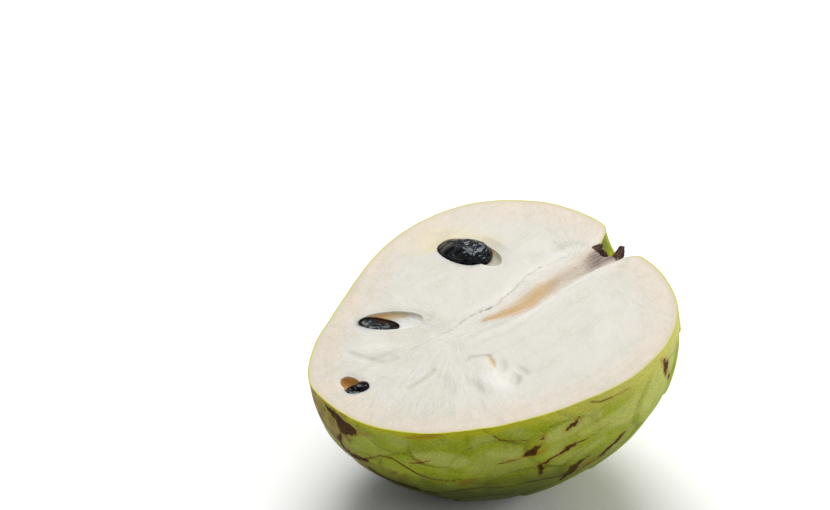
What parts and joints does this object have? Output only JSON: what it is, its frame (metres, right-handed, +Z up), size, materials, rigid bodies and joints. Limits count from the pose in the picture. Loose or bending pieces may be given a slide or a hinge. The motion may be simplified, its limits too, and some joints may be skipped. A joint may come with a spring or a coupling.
{
  "type": "halved custard apple",
  "caption": "Half of a smooth-skinned custard apple, cut lengthwise: green scaled rind, white flesh, fibrous core, torn stalk end and glossy black seeds in their pockets.",
  "frame": {"origin": "on the surface that the half rests on, under the centre of its bounding box", "axes": "+X level, towards the stalk end, which the cut face rises to; +Y towards the lobe with the hollow flank; +Z up"},
  "size_m": [0.0907, 0.0946, 0.0544],
  "materials": {
    "rind": "satin",
    "flesh": "satin",
    "core": "satin",
    "stalk_scar": "matte",
    "seed": "gloss"
  },
  "bodies": {
    "root": {"rind": "rind", "flesh": "flesh", "core": "core", "stalk_scar": "stalk_scar", "seed_upper": "seed", "seed_middle": "seed", "seed_lower": "seed"}
  },
  "joints": []
}
